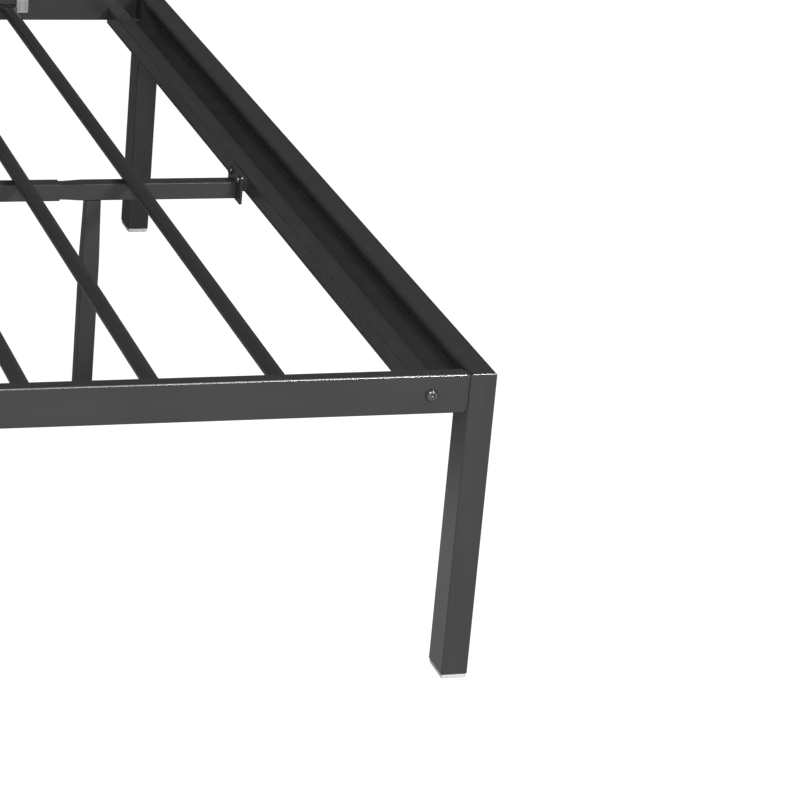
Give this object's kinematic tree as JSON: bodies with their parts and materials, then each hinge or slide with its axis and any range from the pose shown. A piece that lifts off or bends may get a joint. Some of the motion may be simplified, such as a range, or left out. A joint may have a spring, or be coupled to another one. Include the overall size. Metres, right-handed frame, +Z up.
{
  "type": "metal bed frame",
  "caption": "Low metal platform bed frame: bolted corner legs, tubular side rails, end channels with an inner tube, round cross slats and a centre bar on its own legs.",
  "frame": {"origin": "on the floor, under the middle of the bed", "axes": "+X along the bed to its foot end, +Y across to its far long side, +Z up"},
  "size_m": [2.032, 1.5334, 0.3556],
  "materials": {
    "frame_coat": "satin black powder coat",
    "foot_plastic": "moulded light grey",
    "bolt_black": "blackened steel"
  },
  "bodies": {
    "root": {"foot_end_channel": "frame_coat", "head_end_channel": "frame_coat", "foot_inner_tube": "frame_coat", "head_inner_tube": "frame_coat", "foot_near_corner_leg": "frame_coat", "foot_far_corner_leg": "frame_coat", "head_near_corner_leg": "frame_coat", "head_far_corner_leg": "frame_coat", "foot_near_corner_pad": "foot_plastic", "foot_far_corner_pad": "foot_plastic", "head_near_corner_pad": "foot_plastic", "head_far_corner_pad": "foot_plastic", "foot_near_side_rail": "frame_coat", "foot_far_side_rail": "frame_coat", "head_near_side_rail": "frame_coat", "head_far_side_rail": "frame_coat", "foot_near_rail_stub": "frame_coat", "foot_far_rail_stub": "frame_coat", "head_near_rail_stub": "frame_coat", "head_far_rail_stub": "frame_coat", "foot_near_corner_bolt": "bolt_black", "foot_far_corner_bolt": "bolt_black", "head_near_corner_bolt": "bolt_black", "head_far_corner_bolt": "bolt_black", "near_rail_joint_plate": "frame_coat", "far_rail_joint_plate": "frame_coat", "near_middle_leg": "frame_coat", "far_middle_leg": "frame_coat", "near_middle_pad": "foot_plastic", "far_middle_pad": "foot_plastic", "slat_01": "frame_coat", "slat_02": "frame_coat", "slat_03": "frame_coat", "slat_04": "frame_coat", "slat_05": "frame_coat", "slat_06": "frame_coat", "slat_07": "frame_coat", "slat_08": "frame_coat", "slat_09": "frame_coat", "slat_10": "frame_coat", "slat_11": "frame_coat", "slat_12": "frame_coat", "slat_13": "frame_coat", "centre_bar_middle": "frame_coat", "centre_bar_foot": "frame_coat", "centre_bar_head": "frame_coat", "foot_bar_hanger": "frame_coat", "head_bar_hanger": "frame_coat", "foot_near_hanger_bolt": "bolt_black", "foot_far_hanger_bolt": "bolt_black", "head_near_hanger_bolt": "bolt_black", "head_far_hanger_bolt": "bolt_black", "foot_centre_leg": "frame_coat", "middle_centre_leg": "frame_coat", "head_centre_leg": "frame_coat", "foot_centre_pad": "foot_plastic", "middle_centre_pad": "foot_plastic", "head_centre_pad": "foot_plastic"}
  },
  "joints": []
}
